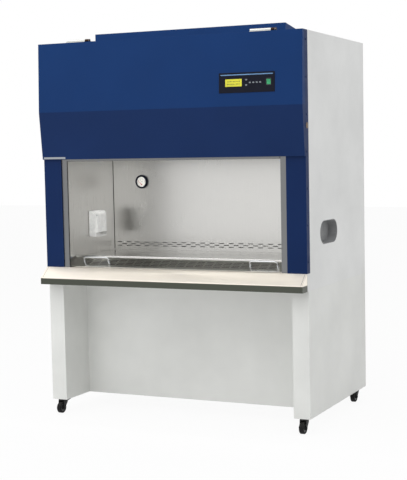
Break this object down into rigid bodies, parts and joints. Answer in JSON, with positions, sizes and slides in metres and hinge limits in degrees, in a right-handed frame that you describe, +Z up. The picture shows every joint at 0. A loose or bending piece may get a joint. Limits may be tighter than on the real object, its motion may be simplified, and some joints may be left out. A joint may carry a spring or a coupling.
{
  "type": "biosafety cabinet",
  "caption": "Class II biosafety cabinet: stainless work chamber with a powered sliding sash, hinged blue control hood, armrest, lift-out grille and tray, on a stand with castors.",
  "frame": {"origin": "middle of the footprint at floor level, where the castors stand", "axes": "+Z up, +Y towards the cabinet's back, +X to the right seen from the front"},
  "size_m": [1.4044, 0.902, 1.915],
  "materials": {
    "post_blue": "satin",
    "hood_blue": "satin",
    "shell_white": "fine powder coat",
    "stand_white": "fine powder coat",
    "roof_blue": "satin",
    "liner_steel": "polished, faint grain",
    "rest_steel": "brushed along its length",
    "rail_steel": "brushed",
    "handle_chrome": "bright",
    "galvanised": "galvanised",
    "sash_glass": "clear, laminated",
    "hinge_metal": "satin",
    "bezel_black": "fine texture",
    "display_yellow": "back-lit display",
    "button_grey": "silicone",
    "rocker_green": "translucent",
    "screw_steel": "polished",
    "filter_frame": "pleated paper in a frame",
    "lamp_white": "opal tube in a white channel",
    "motor_grey": "painted",
    "impeller_metal": "plain",
    "drive_metal": "plain",
    "gauge_black": "satin",
    "needle_red": "satin",
    "socket_white": "moulded",
    "grip_dark": "moulded",
    "gland_black": "moulded",
    "castor_black": "moulded nylon",
    "castor_tread": "matte"
  },
  "bodies": {
    "cabinet": {"side_panel_left": "shell_white", "side_panel_right": "shell_white", "rear_panel": "shell_white", "roof_panel": "shell_white", "drain_pan": "liner_steel", "front_frame": "post_blue", "armrest": "rest_steel", "chamber_wall_left": "liner_steel", "chamber_wall_right": "liner_steel", "chamber_back_wall": "liner_steel", "sash_guides": "rail_steel", "supply_filter": "filter_frame", "exhaust_filter": "filter_frame", "exhaust_box": "roof_blue", "filter_plenum": "galvanised", "blower_housing": "galvanised", "blower_motor": "motor_grey", "lamp_fitting": "lamp_white", "gauge_case": "gauge_black", "socket_body": "socket_white", "grip_cups": "grip_dark", "stand_side_left": "stand_white", "stand_side_right": "stand_white", "knee_panel": "stand_white", "frame_screws": "screw_steel", "mains_gland": "gland_black"},
    "cover": {"front_cover": "hood_blue", "hinge_barrels": "hinge_metal", "panel_bezel": "bezel_black", "display_window": "display_yellow"},
    "rocker": {"rocker_switch": "rocker_green"},
    "lock": {"cover_lock": "screw_steel"},
    "sash": {"sash_handle": "rail_steel", "sash_glass": "sash_glass", "sash_cables": "rail_steel"},
    "shaft": {"sash_shaft": "drive_metal"},
    "needle": {"gauge_needle": "needle_red"},
    "flap": {"socket_flap": "socket_white"},
    "impeller": {"blower_impeller": "impeller_metal"},
    "tray": {"work_tray": "liner_steel"},
    "grille": {"front_grille": "liner_steel", "grille_handles": "handle_chrome"},
    "button_up": {"button_up": "button_grey"},
    "button_down": {"button_down": "button_grey"},
    "button_light": {"button_light": "button_grey"},
    "button_lamp": {"button_lamp": "button_grey"},
    "button_outlet": {"button_outlet": "button_grey"},
    "button_fan": {"button_fan": "button_grey"},
    "fork_front_left": {"castor_fork_front_left": "castor_black"},
    "wheel_front_left": {"castor_wheel_front_left": "castor_tread"},
    "pedal_front_left": {"castor_pedal_front_left": "castor_black"},
    "fork_front_right": {"castor_fork_front_right": "castor_black"},
    "wheel_front_right": {"castor_wheel_front_right": "castor_tread"},
    "pedal_front_right": {"castor_pedal_front_right": "castor_black"},
    "fork_rear_left": {"castor_fork_rear_left": "castor_black"},
    "wheel_rear_left": {"castor_wheel_rear_left": "castor_tread"},
    "pedal_rear_left": {"castor_pedal_rear_left": "castor_black"},
    "fork_rear_right": {"castor_fork_rear_right": "castor_black"},
    "wheel_rear_right": {"castor_wheel_rear_right": "castor_tread"},
    "pedal_rear_right": {"castor_pedal_rear_right": "castor_black"}
  },
  "joints": [
    {"name": "cover_hinge", "type": "hinge", "parent": "cabinet", "child": "cover", "pos_m": [0, -0.393, 1.862], "axis": [-1, 0, 0], "range_deg": [0, 90]},
    {"name": "button_up_press", "type": "slide", "parent": "cover", "child": "button_up", "axis": [0, 0.9994, -0.0357], "range_m": [0, 0.0012], "stiffness_N_per_m": 300},
    {"name": "button_down_press", "type": "slide", "parent": "cover", "child": "button_down", "axis": [0, 0.9994, -0.0357], "range_m": [0, 0.0012], "stiffness_N_per_m": 300},
    {"name": "button_light_press", "type": "slide", "parent": "cover", "child": "button_light", "axis": [0, 0.9994, -0.0357], "range_m": [0, 0.0012], "stiffness_N_per_m": 300},
    {"name": "button_lamp_press", "type": "slide", "parent": "cover", "child": "button_lamp", "axis": [0, 0.9994, -0.0357], "range_m": [0, 0.0012], "stiffness_N_per_m": 300},
    {"name": "button_outlet_press", "type": "slide", "parent": "cover", "child": "button_outlet", "axis": [0, 0.9994, -0.0357], "range_m": [0, 0.0012], "stiffness_N_per_m": 300},
    {"name": "button_fan_press", "type": "slide", "parent": "cover", "child": "button_fan", "axis": [0, 0.9994, -0.0357], "range_m": [0, 0.0012], "stiffness_N_per_m": 300},
    {"name": "rocker_tilt", "type": "hinge", "parent": "cover", "child": "rocker", "pos_m": [0.537, -0.41818, 1.62596], "axis": [1, 0, 0], "range_deg": [-16, 0]},
    {"name": "lock_turn", "type": "hinge", "parent": "cabinet", "child": "lock", "pos_m": [0.7, -0.371, 1.425], "axis": [-1, 0, 0], "range_deg": [0, 90]},
    {"name": "sash_slide", "type": "slide", "parent": "cabinet", "child": "sash", "axis": [0, 0, 1], "range_m": [-0.525, 0], "deforming": ["sash_cables"]},
    {"name": "shaft_turn", "type": "hinge", "parent": "cabinet", "child": "shaft", "pos_m": [0, -0.344, 1.82], "axis": [1, 0, 0], "range_deg": [0, 1290]},
    {"name": "needle_turn", "type": "hinge", "parent": "cabinet", "child": "needle", "pos_m": [-0.433, 0.125, 1.146], "axis": [0, 1, 0], "range_deg": [0, 90], "stiffness_Nm_per_rad": 0.004},
    {"name": "flap_hinge", "type": "hinge", "parent": "cabinet", "child": "flap", "pos_m": [-0.5697, -0.074, 0.998], "axis": [0, -1, 0], "range_deg": [0, 90]},
    {"name": "impeller_spin", "type": "hinge", "parent": "cabinet", "child": "impeller", "pos_m": [0, 0.294, 1.678], "axis": [1, 0, 0], "continuous": true},
    {"name": "tray_lift", "type": "slide", "parent": "cabinet", "child": "tray", "axis": [0, 0, 1], "range_m": [0, 0.06]},
    {"name": "grille_lift", "type": "slide", "parent": "cabinet", "child": "grille", "axis": [0, 0, 1], "range_m": [0, 0.05]},
    {"name": "swivel_front_left", "type": "hinge", "parent": "cabinet", "child": "fork_front_left", "pos_m": [-0.659, -0.341, 0.072], "axis": [0, 0, 1], "continuous": true},
    {"name": "roll_front_left", "type": "hinge", "parent": "fork_front_left", "child": "wheel_front_left", "pos_m": [-0.659, -0.361, 0.028], "axis": [1, 0, 0], "continuous": true},
    {"name": "brake_front_left", "type": "hinge", "parent": "fork_front_left", "child": "pedal_front_left", "pos_m": [-0.659, -0.335, 0.058], "axis": [-1, 0, 0], "range_deg": [0, 15]},
    {"name": "swivel_front_right", "type": "hinge", "parent": "cabinet", "child": "fork_front_right", "pos_m": [0.659, -0.341, 0.072], "axis": [0, 0, 1], "continuous": true},
    {"name": "roll_front_right", "type": "hinge", "parent": "fork_front_right", "child": "wheel_front_right", "pos_m": [0.659, -0.361, 0.028], "axis": [1, 0, 0], "continuous": true},
    {"name": "brake_front_right", "type": "hinge", "parent": "fork_front_right", "child": "pedal_front_right", "pos_m": [0.659, -0.335, 0.058], "axis": [-1, 0, 0], "range_deg": [0, 15]},
    {"name": "swivel_rear_left", "type": "hinge", "parent": "cabinet", "child": "fork_rear_left", "pos_m": [-0.659, 0.396, 0.072], "axis": [0, 0, 1], "continuous": true},
    {"name": "roll_rear_left", "type": "hinge", "parent": "fork_rear_left", "child": "wheel_rear_left", "pos_m": [-0.659, 0.376, 0.028], "axis": [1, 0, 0], "continuous": true},
    {"name": "brake_rear_left", "type": "hinge", "parent": "fork_rear_left", "child": "pedal_rear_left", "pos_m": [-0.659, 0.402, 0.058], "axis": [-1, 0, 0], "range_deg": [0, 15]},
    {"name": "swivel_rear_right", "type": "hinge", "parent": "cabinet", "child": "fork_rear_right", "pos_m": [0.659, 0.396, 0.072], "axis": [0, 0, 1], "continuous": true},
    {"name": "roll_rear_right", "type": "hinge", "parent": "fork_rear_right", "child": "wheel_rear_right", "pos_m": [0.659, 0.376, 0.028], "axis": [1, 0, 0], "continuous": true},
    {"name": "brake_rear_right", "type": "hinge", "parent": "fork_rear_right", "child": "pedal_rear_right", "pos_m": [0.659, 0.402, 0.058], "axis": [-1, 0, 0], "range_deg": [0, 15]}
  ],
  "couplings": [
    {"joint": "shaft_turn", "follows": "sash_slide", "rad_per_m": -42.463}
  ]
}
